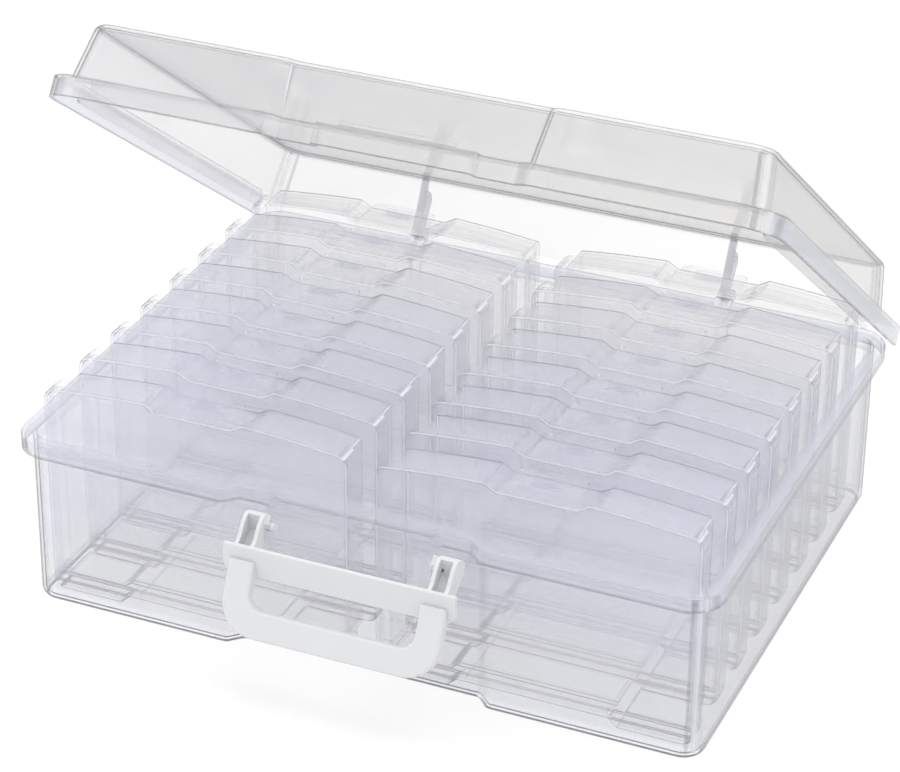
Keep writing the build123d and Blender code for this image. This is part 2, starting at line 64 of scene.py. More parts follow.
# Places where the plastic is marked. A limit is an axis and its two ends, with the lid shut.
TUB_RIM = (("Z", 0.0894, 0.0985),)
# Painted shade: a dark line along the rim's lower border.
TUB_RIM_LINE = (("Z", 0.0888, 0.0892),)
# Painted shade: a dark line along the tub's foot.
TUB_FOOT_SHADE_LINE = (("Z", 0.0004, 0.0017),)
LID_SKIRT_ENDS = (("size of X", 0.1830, 0.2000), ("Z", 0.0885, 0.0985))
# Painted shade: dark lines along the lid skirt's lower border and the lid's front edge.
LID_SKIRT_LINE = (("Z", 0.0878, 0.0885),)
LID_FRONT_LINE = (("Z", 0.0986, 0.0996), ("Y", -0.1600, -0.1300))
LATCH_RIB = (("size of X", 0.0, 0.0300), ("Y", -0.1600, -0.1480), ("Z", 0.0993, 0.1020))
HINGE_ARMS = (("size of X", 0.0895, 0.0935), ("Y", 0.1350, 0.1700))
CASE_OUTER_ENDS = (("size of X", 0.1735, 0.1790), ("Z", 0.0040, 0.1150))
# Painted shade: dark lines along the cases' feet.
CASE_FOOT_SHADE_LINES = (
    (("Z", 0.0029, 0.0032),),
    (("Z", 0.0074, 0.0078),),
    (("Z", 0.0120, 0.0123),),
)
PATCH_BORDER = 0.0003   # soft border of a marked place

# Clear plastic. A direction's part runs from -1 to 1, and 1 is straight along the axis.
PLASTIC_IOR = 1.49
CLOUD_SCALE = 9.0           # of the slow cloud in the haze
CLOUD_VALUES = (0.3, 0.7)   # where most of the noise lies
CLOUD_SWING = 0.08          # share by which the haze drifts
FLANK_BORDER = 0.05         # soft border of a flank, in slope
FACES_UP = (-0.3, 0.1)      # up parts over which a lying edge's crest turns from painted shade to a painted highlight
FACES_RIGHT = (-0.2, 0.4)   # right parts over which an upright corner's crest does
LEANS_DOWN = (-0.80, -0.30)     # up parts of a face that leans down and gets painted shade
LEANS_DOWN_BORDER = 0.12    # soft border of that range
TURNS_AWAY = (0.56, 0.78)   # slants over which a rounded face turns into a painted dark outline
MIDDLE_BORDER = 0.01        # metres over which upright corners grow out of the plain middle
MIDDLE_SHARE = 0.15         # how strongly they show inside it
GLOW_SHARE = 0.5            # of the haze, what is lit from behind
MIRROR_SHARES = (0.04, 0.85)    # light that the shine returns, face-on and edge-on
MIRROR_POWER = 5.0          # the higher, the later the shine rises toward the edge
RIDGE_HAZE = 0.12           # share of light that one face of a ridge holds back

# White plastic.
HANDLE_SHADE = 0.94         # brightness of its darker patches
HANDLE_GLOW = 0.12          # share of it that is lit from behind


# ---- settings -------------------------------------------------------------------------


class PlasticLook(bpy.types.PropertyGroup):
    """Colours and clearness of the moulded plastic."""

    tub_colour: bpy.props.FloatVectorProperty(
        name="Tub colour", description="Tint of the tub's clear plastic",
        subtype="COLOR", size=3, default=(0.76, 0.785, 0.92), min=0.0, max=1.0,
    )
    lid_colour: bpy.props.FloatVectorProperty(
        name="Lid colour", description="Tint of the lid's clear plastic",
        subtype="COLOR", size=3, default=(0.73, 0.72, 0.75), min=0.0, max=1.0,
    )
    # Painted light: the lid tinted lighter and warmer toward its right side.
    lid_right_light_colour: bpy.props.FloatVectorProperty(
        name="Lid warm colour", description="Tint of the lid toward its right side",
        subtype="COLOR", size=3, default=(0.97, 0.94, 0.91), min=0.0, max=1.0,
    )
    case_colour: bpy.props.FloatVectorProperty(
        name="Case colour", description="Tint of the inner cases",
        subtype="COLOR", size=3, default=(0.80, 0.83, 1.0), min=0.0, max=1.0,
    )
    # Painted shade: dark outlines, edges that face down, and dark lines along the rim, skirt,
    # front edge and feet.
    edge_shade_colour: bpy.props.FloatVectorProperty(
        name="Edge colour", description="Tint of outlines and of edges that face down",
        subtype="COLOR", size=3, default=(0.13, 0.135, 0.17), min=0.0, max=1.0,
    )
    # Painted shade: dark lines along a case's rounded edges, their flanks and outlines.
    case_line_shade_colour: bpy.props.FloatVectorProperty(
        name="Case line colour", description="Tint of the dark lines along a case's edges",
        subtype="COLOR", size=3, default=(0.36, 0.37, 0.44), min=0.0, max=1.0,
    )
    # Tint of the lid's thick latch rib and hinge arms, and painted shade along the tub's foot.
    thick_and_foot_shade_colour: bpy.props.FloatVectorProperty(
        name="Thick colour", description="Tint of the lid's latch rib and hinge arms",
        subtype="COLOR", size=3, default=(0.42, 0.42, 0.46), min=0.0, max=1.0,
    )
    # Painted light: the floor's and backdrop's light showing through the cases low down and at the
    # back.
    backdrop_light_colour: bpy.props.FloatVectorProperty(
        name="Warm colour", description="Tint of the inner cases low down and at the back",
        subtype="COLOR", size=3, default=(0.93, 0.90, 0.87), min=0.0, max=1.0,
    )
    # Painted highlight: rounded edges that face up, and upright corners that face right.
    crest_highlight_colour: bpy.props.FloatVectorProperty(
        name="Crest colour", description="Tint of rounded edges that face up",
        subtype="COLOR", size=3, default=(0.97, 0.97, 0.98), min=0.0, max=1.0,
    )
    handle_colour: bpy.props.FloatVectorProperty(
        name="Handle colour", description="White of the handle",
        subtype="COLOR", size=3, default=(0.95, 0.96, 0.985), min=0.0, max=1.0,
    )
    tub_haze: bpy.props.FloatProperty(
        name="Tub haze", description="Share of light that one face of the tub holds back",
        subtype="FACTOR", default=0.12, min=0.0, max=1.0,
    )
    lid_haze: bpy.props.FloatProperty(
        name="Lid haze", description="Share of light that one face of the lid holds back",
        subtype="FACTOR", default=0.19, min=0.0, max=1.0,
    )
    case_haze: bpy.props.FloatProperty(
        name="Case haze", description="Share of light that one face of a case holds back",
        subtype="FACTOR", default=0.085, min=0.0, max=1.0,
    )
    edge_haze: bpy.props.FloatProperty(
        name="Edge haze", description="Share of light that a rounded edge holds back",
        subtype="FACTOR", default=0.75, min=0.0, max=1.0,
    )
    edge_narrowness: bpy.props.FloatProperty(
        name="Edge narrowness", description="The higher, the nearer to edge-on a face turns dense",
        default=12.0, min=1.0, max=30.0,
    )
    lid_edge_narrowness: bpy.props.FloatProperty(
        name="Lid edge narrowness", description="The same for the lid, whose top lies edge-on",
        default=20.0, min=1.0, max=30.0,
    )
    light_through: bpy.props.FloatProperty(
        name="Light let through", description="Share of the studio light that passes one face",
        subtype="FACTOR", default=0.975, min=0.0, max=1.0,
    )
    gloss: bpy.props.FloatProperty(
        name="Gloss roughness", description="Roughness of the clear plastic's shine",
        subtype="FACTOR", default=0.09, min=0.0, max=1.0,
    )


class RidgeSizes(bpy.types.PropertyGroup):
    """Sizes of the finger ridges on the latch tabs."""

    width: bpy.props.FloatProperty(
        name="Ridge width", description="Length of one ridge across the tab",
        subtype="DISTANCE", unit="LENGTH", default=0.019, min=0.004, max=0.034,
    )
    thickness: bpy.props.FloatProperty(
        name="Ridge thickness", description="Front-to-back size of one ridge",
        subtype="DISTANCE", unit="LENGTH", default=0.0008, min=0.0002, max=0.002,
    )
    height: bpy.props.FloatProperty(
        name="Ridge height", description="How far a ridge stands above the tab",
        subtype="DISTANCE", unit="LENGTH", default=0.0005, min=0.0001, max=0.002,
    )
    pitch: bpy.props.FloatProperty(
        name="Ridge pitch", description="Distance from one ridge to the next",
        subtype="DISTANCE", unit="LENGTH", default=0.0021, min=0.001, max=0.005,
    )
    count: bpy.props.IntProperty(
        name="Ridge count", description="Ridges on one tab", default=3, min=1, max=4,
    )


class StudioLook(bpy.types.PropertyGroup):
    """Light levels, floor and camera."""

    key_power: bpy.props.FloatProperty(
        name="Top light", description="Power of the soft light overhead",
        subtype="POWER", default=6.0, min=0.0, max=500.0,
    )
    side_power: bpy.props.FloatProperty(
        name="Side light", description="Power of the soft light on the left",
        subtype="POWER", default=4.0, min=0.0, max=500.0,
    )
    ambient: bpy.props.FloatProperty(
        name="Ambient", description="Strength of the even white surround",
        default=0.86, min=0.0, max=3.0,
    )
    floor_shade: bpy.props.FloatProperty(
        name="Floor shade", description="How strongly the floor shows a shadow",
        subtype="FACTOR", default=0.82, min=0.0, max=1.0,
    )
    lens: bpy.props.FloatProperty(
        name="Lens", description="Focal length of the camera in millimetres",
        default=128.27, min=20.0, max=400.0,
    )


# ---- node helpers ---------------------------------------------------------------------


def fresh_material(name):
    mat = bpy.data.materials.new(name)
    mat.use_nodes = True
    mat.node_tree.nodes.clear()
    return mat, mat.node_tree.nodes, mat.node_tree.links


def noise(nodes, links, vector, scale, detail):
    tex = nodes.new("ShaderNodeTexNoise")
    tex.inputs["Scale"].default_value = scale
    tex.inputs["Detail"].default_value = detail
    links.new(vector, tex.inputs["Vector"])
    return tex.outputs["Fac"]


def remap(nodes, links, value, low, high, to_low, to_high):
    node = nodes.new("ShaderNodeMapRange")
    node.inputs["From Min"].default_value = low
    node.inputs["From Max"].default_value = high
    node.inputs["To Min"].default_value = to_low
    node.inputs["To Max"].default_value = to_high
    links.new(value, node.inputs["Value"])
    return node.outputs["Result"]


def math_node(nodes, links, operation, first, second):
    node = nodes.new("ShaderNodeMath")
    node.operation = operation
    for socket, value in zip(node.inputs, (first, second)):
        if isinstance(value, (int, float)):
            socket.default_value = value
        else:
            links.new(value, socket)
    return node.outputs[0]


def mix_colour(nodes, links, factor, first, second):
    node = nodes.new("ShaderNodeMix")
    node.data_type = "RGBA"
    links.new(factor, node.inputs["Factor"])
    for socket, colour in ((node.inputs["A"], first), (node.inputs["B"], second)):
        if isinstance(colour, bpy.types.NodeSocket):
            links.new(colour, socket)
        else:
            socket.default_value = (*colour, 1.0)
    return node.outputs["Result"]


def split(nodes, links, vector):
    """The x, y and z of a vector, and their sizes without the sign."""
    size = nodes.new("ShaderNodeVectorMath")
    size.operation = "ABSOLUTE"
    links.new(vector, size.inputs[0])
    signed = nodes.new("ShaderNodeSeparateXYZ")
    links.new(vector, signed.inputs[0])
    bare = nodes.new("ShaderNodeSeparateXYZ")
    links.new(size.outputs[0], bare.inputs[0])
    parts = {axis: signed.outputs[axis] for axis in "XYZ"}
    parts.update({f"size of {axis}": bare.outputs[axis] for axis in "XYZ"})
    return parts


def turned_back(nodes, links, vector, angle, centre):
    """A direction or a place as it is when the lid is shut."""
    turn = nodes.new("ShaderNodeVectorRotate")
    turn.rotation_type = "X_AXIS"
    turn.inputs["Angle"].default_value = angle
    turn.inputs["Center"].default_value = centre
    links.new(vector, turn.inputs["Vector"])
    return turn.outputs["Vector"]


def stripe(nodes, links, value, low, high, soft):
    """1 between low and high, falling to 0 over a soft border."""
    rise = remap(nodes, links, value, low - soft, low, 0.0, 1.0)
    fall = remap(nodes, links, value, high, high + soft, 1.0, 0.0)
    return math_node(nodes, links, "MINIMUM", rise, fall)


def patch(nodes, links, parts, limits):
    """1 inside the limits on one or more axes, 0 outside them."""
    inside = 1.0
    for axis, low, high in limits:
        band = stripe(nodes, links, parts[axis], low, high, PATCH_BORDER)
        inside = math_node(nodes, links, "MINIMUM", inside, band)
    return inside


def moulded_edges(nodes, links, normal, recipe, corner_share):
    """Lines along rounded edges: crest, its two flanks, where the crest gets a painted highlight,
    and all that is round.
    """
    high = normal["size of Z"]
    squares = math_node(nodes, links, "MULTIPLY", high, high)
    level = math_node(nodes, links, "SQRT", math_node(nodes, links, "SUBTRACT", 1.0, squares), 0)
    lying = math_node(nodes, links, "MINIMUM", high, level)
    upright = math_node(nodes, links, "MINIMUM", normal["size of X"], normal["size of Y"])
    lying_crest = remap(nodes, links, lying, *recipe.crest, 0.0, 1.0)
    upright_crest = math_node(nodes, links, "MULTIPLY", corner_share,
                              remap(nodes, links, upright, *recipe.crest, 0.0, 1.0))
    crest = math_node(nodes, links, "MAXIMUM", lying_crest, upright_crest)
    lying_flank = stripe(nodes, links, lying, *recipe.flank, FLANK_BORDER)
    upright_flank = stripe(nodes, links, upright, *recipe.flank, FLANK_BORDER)
    flanks = math_node(nodes, links, "MAXIMUM", lying_flank,
                       math_node(nodes, links, "MULTIPLY", upright_flank, corner_share))
    # Painted highlight where a lying crest faces up or an upright corner faces right; painted
    # shade on the rest of the crest.
    up = remap(nodes, links, normal["Z"], *FACES_UP, 0.0, 1.0)
    right = remap(nodes, links, normal["X"], *FACES_RIGHT, 0.0, 1.0)
    on_lying_crest = math_node(nodes, links, "GREATER_THAN", lying_crest, 0.01)
    up = math_node(nodes, links, "MULTIPLY", up, on_lying_crest)
    right = math_node(nodes, links, "MULTIPLY", right,
                      math_node(nodes, links, "SUBTRACT", 1.0, on_lying_crest))
    highlit = math_node(nodes, links, "ADD", up, right)
    corner = math_node(nodes, links, "MULTIPLY", upright, corner_share)
    rounded = remap(nodes, links, math_node(nodes, links, "MAXIMUM", lying, corner),
                    *recipe.round_from, 0.0, 1.0)
    return crest, flanks, highlit, rounded


@dataclass
class ClearPlastic:
    """Recipe for one clear moulded plastic.

    A slope runs from 0, on a level or an upright face, to 0.71 on one at 45 degrees, and on
    upright corners likewise from one wall to the next.
    """

    name: str
    colour: Color
    # line_shade_colour: tint of the painted shade along edges, their flanks and outlines
    line_shade_colour: Color
    haze: float                         # share of light that one face holds back
    narrowness: float                   # the higher, the thinner the outline
    tilt: float = 0.0                   # angle that the piece stands open
    crest: tuple = (0.55, 0.68)         # slopes over which an edge's crest grows
    flank: tuple = (0.25, 0.42)         # slopes of the lines beside it
    round_from: tuple = (0.15, 0.28)    # slopes over which a face starts to count as rounded
    corner_share: float = 1.0           # how strongly upright corners show
    plain_middle: float = 0.0           # they stay faint nearer the middle than this
    flank_haze: float = 0.20
    below_haze: float = 0.60            # where a face leans down and gets painted shade
    outline_haze: float = 0.60          # where a rounded face turns away from view, as a painted dark outline
    surround_through: float = 0.999     # share of the surround that passes one face
    fades: tuple = ()                   # axis, from, to, share of the haze at "from"
    tints: tuple = ()                   # axis, from, to, share reached at "to", colour
    marks: tuple = ()                   # place, haze, colour


def haze_and_tint(nodes, links, recipe, slant):
    """How much light the plastic holds back at each spot, and with what colour, painted highlights
    and painted shade included.
    """
    look = bpy.context.scene.plastic_look
    coords = nodes.new("ShaderNodeTexCoord")
    place = turned_back(nodes, links, coords.outputs["Object"], recipe.tilt, LID_HINGE)
    normal = turned_back(nodes, links, coords.outputs["Normal"], recipe.tilt, (0, 0, 0))
    place_parts = split(nodes, links, place)
    normal_parts = split(nodes, links, normal)
    cloud = noise(nodes, links, place, scale=CLOUD_SCALE, detail=1.0)
    dense = remap(nodes, links, cloud, *CLOUD_VALUES,
                  recipe.haze * (1 - CLOUD_SWING), recipe.haze * (1 + CLOUD_SWING))
    for axis, start, end, share in recipe.fades:
        grown = remap(nodes, links, place_parts[axis], start, end, share, 1.0)
        dense = math_node(nodes, links, "MULTIPLY", dense, grown)
    tint = recipe.colour
    for axis, start, end, share, colour in recipe.tints:
        reach = remap(nodes, links, place_parts[axis], start, end, 0.0, share)
        tint = mix_colour(nodes, links, reach, tint, colour)
    for limits, haze, colour in recipe.marks:
        inside = patch(nodes, links, place_parts, limits)
        dense = math_node(nodes, links, "MAXIMUM", dense,
                          math_node(nodes, links, "MULTIPLY", inside, haze))
        tint = mix_colour(nodes, links, inside, tint, colour)
    corner_share = recipe.corner_share
    if recipe.plain_middle:
        corner_share = remap(nodes, links, place_parts["size of X"],
                             recipe.plain_middle, recipe.plain_middle + MIDDLE_BORDER,
                             corner_share * MIDDLE_SHARE, corner_share)
    crest, flanks, highlit, rounded = moulded_edges(
        nodes, links, normal_parts, recipe, corner_share
    )
    # Painted shade on faces that lean down, and painted dark outlines where faces turn away.
    shaded_below = stripe(nodes, links, normal_parts["Z"], *LEANS_DOWN, LEANS_DOWN_BORDER)
    outline = math_node(nodes, links, "POWER", slant, recipe.narrowness)
    turning_away = remap(nodes, links, slant, *TURNS_AWAY, 0.0, 1.0)
    outline = math_node(nodes, links, "MAXIMUM", outline,
                        math_node(nodes, links, "MULTIPLY", turning_away, rounded))
    # Crests: painted highlight where they face up or right, painted shade elsewhere.
    line_tint = mix_colour(nodes, links, highlit, recipe.line_shade_colour, look.crest_highlight_colour)
    for mask, haze, colour in (
        (flanks, recipe.flank_haze, recipe.line_shade_colour),
        (crest, look.edge_haze, line_tint),
        (shaded_below, recipe.below_haze, look.edge_shade_colour),
        (outline, recipe.outline_haze, recipe.line_shade_colour),
    ):
        dense = math_node(nodes, links, "MAXIMUM", dense,
                          math_node(nodes, links, "MULTIPLY", mask, haze))
        tint = mix_colour(nodes, links, mask, tint, colour)
    return dense, tint


def clear_plastic(recipe):
    """Thin clear moulded plastic: milky face-on, with painted highlights and painted shade as
    lines along its edges.
    """
    look = bpy.context.scene.plastic_look
    mat, nodes, links = fresh_material(recipe.name)
    facing = nodes.new("ShaderNodeLayerWeight")
    facing.inputs["Blend"].default_value = 0.5
    slant = facing.outputs["Facing"]
    dense, tint = haze_and_tint(nodes, links, recipe, slant)
    body = nodes.new("ShaderNodeBsdfPrincipled")
    body.inputs["Roughness"].default_value = look.gloss
    body.inputs["IOR"].default_value = PLASTIC_IOR
    links.new(tint, body.inputs["Base Color"])
    glow = nodes.new("ShaderNodeBsdfTranslucent")
    links.new(tint, glow.inputs["Color"])
    milk = nodes.new("ShaderNodeMixShader")
    milk.inputs["Fac"].default_value = GLOW_SHARE
    links.new(body.outputs["BSDF"], milk.inputs[1])
    links.new(glow.outputs["BSDF"], milk.inputs[2])
    clear = nodes.new("ShaderNodeBsdfTransparent")
    layer = nodes.new("ShaderNodeMixShader")
    links.new(dense, layer.inputs["Fac"])
    links.new(clear.outputs["BSDF"], layer.inputs[1])
    links.new(milk.outputs["Shader"], layer.inputs[2])
    shine = nodes.new("ShaderNodeBsdfGlossy")
    shine.inputs["Roughness"].default_value = look.gloss
    glancing = math_node(nodes, links, "POWER", slant, MIRROR_POWER)
    mirror = remap(nodes, links, glancing, 0.0, 1.0, *MIRROR_SHARES)
    coat = nodes.new("ShaderNodeMixShader")
    links.new(mirror, coat.inputs["Fac"])
    links.new(layer.outputs["Shader"], coat.inputs[1])
    links.new(shine.outputs["BSDF"], coat.inputs[2])
    path = nodes.new("ShaderNodeLightPath")
    passing = nodes.new("ShaderNodeBsdfTransparent")
    through = remap(nodes, links, path.outputs["Is Shadow Ray"], 0.0, 1.0,
                    recipe.surround_through, look.light_through)
    links.new(through, passing.inputs["Color"])
    lighting = math_node(nodes, links, "MAXIMUM", path.outputs["Is Shadow Ray"],
                         path.outputs["Is Diffuse Ray"])
    pick = nodes.new("ShaderNodeMixShader")
    links.new(lighting, pick.inputs["Fac"])
    links.new(coat.outputs["Shader"], pick.inputs[1])
    links.new(passing.outputs["BSDF"], pick.inputs[2])
    out = nodes.new("ShaderNodeOutputMaterial")
    links.new(pick.outputs["Shader"], out.inputs["Surface"])
    return mat


def white_plastic(name, colour):
    """Satin white that lets a little light through, very slightly uneven."""
    mat, nodes, links = fresh_material(name)
    place = nodes.new("ShaderNodeTexCoord").outputs["Object"]
    cloud = noise(nodes, links, place, scale=25.0, detail=2.0)
    grain = noise(nodes, links, place, scale=1400.0, detail=3.0)
    shade = tuple(channel * HANDLE_SHADE for channel in colour)
    tint = mix_colour(nodes, links, cloud, colour, shade)
    bump = nodes.new("ShaderNodeBump")
    bump.inputs["Strength"].default_value = 0.12
    bump.inputs["Distance"].default_value = 0.0002
    links.new(grain, bump.inputs["Height"])
    body = nodes.new("ShaderNodeBsdfPrincipled")
    body.inputs["Roughness"].default_value = 0.38
    body.inputs["IOR"].default_value = PLASTIC_IOR
    links.new(tint, body.inputs["Base Color"])
    links.new(bump.outputs["Normal"], body.inputs["Normal"])
    glow = nodes.new("ShaderNodeBsdfTranslucent")
    links.new(tint, glow.inputs["Color"])
    both = nodes.new("ShaderNodeMixShader")
    both.inputs["Fac"].default_value = HANDLE_GLOW
    links.new(body.outputs["BSDF"], both.inputs[1])
    links.new(glow.outputs["BSDF"], both.inputs[2])
    out = nodes.new("ShaderNodeOutputMaterial")
    links.new(both.outputs["Shader"], out.inputs["Surface"])
    return mat


def dress(node_names, mat):
    """Give the material to every slot of the named solids."""
    for name in node_names:
        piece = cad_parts[name]
        if not piece.data.materials:
            piece.data.materials.append(mat)
        for slot in piece.material_slots:
            slot.material = mat


# ---- operators ------------------------------------------------------------------------


class DressTub(bpy.types.Operator):
    """Give the tub its clear plastic"""

    bl_idname = "photocase.dress_tub"
    bl_label = "Tub"

    def execute(self, context):
        look = context.scene.plastic_look
        recipe = ClearPlastic(
            name="tub clear plastic", colour=look.tub_colour, line_shade_colour=look.edge_shade_colour,
            haze=look.tub_haze, narrowness=look.edge_narrowness,
            crest=(0.58, 0.69), flank=(0.38, 0.50), corner_share=0.7, plain_middle=0.085,
            flank_haze=0.30, below_haze=0.85, outline_haze=0.75, surround_through=0.975,
            marks=(
                (TUB_RIM, 0.24, look.tub_colour),
                (TUB_RIM_LINE, 0.40, look.edge_shade_colour),
                (TUB_FOOT_SHADE_LINE, 0.75, look.thick_and_foot_shade_colour),
            ),
        )
        dress(["tub"], clear_plastic(recipe))
        return {"FINISHED"}


class DressLid(bpy.types.Operator):
    """Give the lid and its hinge pins their clear plastic"""

    bl_idname = "photocase.dress_lid"
    bl_label = "Lid"

    def execute(self, context):
        look = context.scene.plastic_look
        recipe = ClearPlastic(
            name="lid clear plastic", colour=look.lid_colour, line_shade_colour=look.edge_shade_colour,
            haze=look.lid_haze, narrowness=look.lid_edge_narrowness,
            tilt=math.radians(LID_OPENING),
            crest=(0.56, 0.68), flank=(0.36, 0.47), corner_share=0.8,
            flank_haze=0.32, below_haze=0.06, outline_haze=0.75,
            # Painted light: the lid turns clearer, lighter and warmer toward its right side.
            fades=(("X", 0.190, -0.190, 0.32),),
            tints=(("X", -0.120, 0.170, 1.0, look.lid_right_light_colour),),
            marks=(
                (LID_SKIRT_ENDS, 0.30, look.tub_colour),
                (LID_SKIRT_LINE, 0.45, look.edge_shade_colour),
                (LID_FRONT_LINE, 0.28, look.edge_shade_colour),
                (LATCH_RIB, 0.50, look.thick_and_foot_shade_colour),
                (HINGE_ARMS, 0.50, look.thick_and_foot_shade_colour),
            ),
        )
        dress(["lid", *PIN_NODES], clear_plastic(recipe))
        return {"FINISHED"}


class DressHandle(bpy.types.Operator):
    """Give the handle and its pivots their white plastic"""

    bl_idname = "photocase.dress_handle"
    bl_label = "Handle"

    def execute(self, context):
        look = context.scene.plastic_look
        dress(HANDLE_NODES, white_plastic("handle white plastic", look.handle_colour))
        return {"FINISHED"}


class DressCases(bpy.types.Operator):
    """Give the inner cases their clear plastic"""

    bl_idname = "photocase.dress_cases"
    bl_label = "Inner cases"

    def execute(self, context):
        look = context.scene.plastic_look
        # Painted shade: dark lines along the feet.
        foot_shade_marks = zip(CASE_FOOT_SHADE_LINES, (0.80, 0.80, 0.55))
        recipe = ClearPlastic(
            name="case clear plastic", colour=look.case_colour,
            line_shade_colour=look.case_line_shade_colour,
            haze=look.case_haze, narrowness=look.edge_narrowness, round_from=(0.52, 0.60),
            # Painted light of the floor and backdrop: clearer and warmer low down and toward the
            # back.
            fades=(("Z", 0.010, 0.060, 0.35), ("Y", 0.150, -0.020, 0.7)),
            tints=(
                ("Z", 0.055, 0.012, 1.0, look.backdrop_light_colour),
                ("Y", -0.020, 0.140, 0.8, look.backdrop_light_colour),
            ),
            marks=(
                (CASE_OUTER_ENDS, 0.17, look.case_colour),
                *((line, haze, look.edge_shade_colour) for line, haze in foot_shade_marks),
            ),
        )
        dress(COVER_NODES + BODY_NODES, clear_plastic(recipe))
        return {"FINISHED"}


def ridge_tree(mat):
    """Geometry nodes for a short stack of ridges: one bar repeated along Y."""
    tree = bpy.data.node_groups.new("latch tab ridges", "GeometryNodeTree")
    sockets = tree.interface
    sockets.new_socket("Geometry", in_out="OUTPUT", socket_type="NodeSocketGeometry")
    for label, kind in (
        ("Start", "NodeSocketVector"),
        ("Bar", "NodeSocketVector"),
        ("Pitch", "NodeSocketFloat"),
        ("Count", "NodeSocketInt"),
    ):
        sockets.new_socket(label, in_out="INPUT", socket_type=kind)
    nodes, links = tree.nodes, tree.links
    given = nodes.new("NodeGroupInput")
    step = nodes.new("ShaderNodeCombineXYZ")
    line = nodes.new("GeometryNodeMeshLine")
    line.mode = "OFFSET"
    bar = nodes.new("GeometryNodeMeshCube")
    for axis in ("Vertices X", "Vertices Y", "Vertices Z"):
        bar.inputs[axis].default_value = 3
    round_off = nodes.new("GeometryNodeSubdivisionSurface")
    round_off.inputs["Level"].default_value = 1
    copies = nodes.new("GeometryNodeInstanceOnPoints")
    real = nodes.new("GeometryNodeRealizeInstances")
    paint = nodes.new("GeometryNodeSetMaterial")
    paint.inputs["Material"].default_value = mat
    out = nodes.new("NodeGroupOutput")
    links.new(given.outputs["Pitch"], step.inputs["Y"])
    links.new(given.outputs["Count"], line.inputs["Count"])
    links.new(given.outputs["Start"], line.inputs["Start Location"])
    links.new(step.outputs["Vector"], line.inputs["Offset"])
    links.new(given.outputs["Bar"], bar.inputs["Size"])
    links.new(bar.outputs["Mesh"], round_off.inputs["Mesh"])
    links.new(line.outputs["Mesh"], copies.inputs["Points"])
    links.new(round_off.outputs["Mesh"], copies.inputs["Instance"])
    links.new(copies.outputs["Instances"], real.inputs["Geometry"])
    links.new(real.outputs["Geometry"], paint.inputs["Geometry"])
    links.new(paint.outputs["Geometry"], out.inputs["Geometry"])
    return tree


def bake(piece):
    """Turn what the piece's geometry nodes make into its plain mesh."""
    graph = bpy.context.evaluated_depsgraph_get()
    mesh = bpy.data.meshes.new_from_object(piece.evaluated_get(graph), depsgraph=graph)
    mesh.name = piece.name
    piece.modifiers.clear()
    piece.data = mesh


class AddRidges(bpy.types.Operator):
    """Mould finger ridges on every latch tab"""

    bl_idname = "photocase.add_ridges"
    bl_label = "Latch tab ridges"

    def execute(self, context):
        scene = context.scene
        sizes = scene.ridge_sizes
        look = scene.plastic_look
        recipe = ClearPlastic(
            name="ridge clear plastic", colour=look.case_colour, line_shade_colour=look.case_colour,
            haze=RIDGE_HAZE, narrowness=look.edge_narrowness,
        )
        tree = ridge_tree(clear_plastic(recipe))
        for side in SIDES:
            for row in range(ROWS):
                low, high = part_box(f"case_cover_{side}_{row + 1}")
                name = f"tab_ridges_{side}_{row + 1}"
                piece = bpy.data.objects.new(name, bpy.data.meshes.new(name))
                scene.collection.objects.link(piece)
                mod = piece.modifiers.new("ridges", "NODES")
                mod.node_group = tree
                start = ((low[0] + high[0]) / 2, low[1] + RIDGE_START, TAB_TOP)
                values = {
                    "Start": start,
                    "Bar": (sizes.width, sizes.thickness, sizes.height * 2),
                    "Pitch": sizes.pitch,
                    "Count": sizes.count,
                }
                for item in tree.interface.items_tree:
                    if item.in_out == "INPUT":
                        mod[item.identifier] = values[item.name]
                bake(piece)
                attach(piece, f"case_{side}_{row + 1}")
        return {"FINISHED"}


# ---- stage ----------------------------------------------------------------------------

# The camera that the photograph was solved for.
CAMERA_AT = Vector((0.561996, -1.337281, 0.913051))
CAMERA_RIGHT = Vector((0.91795, 0.39661, 0.00843))
CAMERA_UP = Vector((-0.20141, 0.44762, 0.87125))
CAMERA_FORWARD = Vector((-0.34177, 0.80146, -0.49077))
FLOOR_HALF = 25.0           # so wide that a low view doesn't reach its edge
FLOOR_GREY = 0.82           # how much light the floor gives back
LIGHTS_AIM = (0.0, 0.0, 0.1)    # both lights point here
TOP_LIGHT_AT = (0.1, 0.35, 1.7)
TOP_LIGHT_SIZE = (1.6, 1.2)
SIDE_LIGHT_AT = (-1.6, -0.7, 1.1)
SIDE_LIGHT_SIZE = (1.0, 1.0)
HORIZON_SHARE = 0.9         # brightness of the surround at the horizon
OVERHEAD_SHARE = 1.06       # and overhead
OVERHEAD_FROM = 0.7         # up part of a direction that counts as overhead


def floor_material(shade):
    """White floor that keeps the object's shadow, and shows white to the camera."""
    mat, nodes, links = fresh_material("studio floor")
    matte = nodes.new("ShaderNodeBsdfDiffuse")
    matte.inputs["Color"].default_value = (FLOOR_GREY, FLOOR_GREY, FLOOR_GREY, 1.0)
    lift = nodes.new("ShaderNodeEmission")
    lift.inputs["Strength"].default_value = 1.0 - shade
    both = nodes.new("ShaderNodeAddShader")
    links.new(matte.outputs["BSDF"], both.inputs[0])
    links.new(lift.outputs["Emission"], both.inputs[1])
    path = nodes.new("ShaderNodeLightPath")
    seen = math_node(nodes, links, "MAXIMUM", path.outputs["Is Camera Ray"],
                     path.outputs["Is Transmission Ray"])
    pick = nodes.new("ShaderNodeMixShader")
    links.new(seen, pick.inputs["Fac"])
    links.new(matte.outputs["BSDF"], pick.inputs[1])
    links.new(both.outputs["Shader"], pick.inputs[2])
    out = nodes.new("ShaderNodeOutputMaterial")
    links.new(pick.outputs["Shader"], out.inputs["Surface"])
    return mat


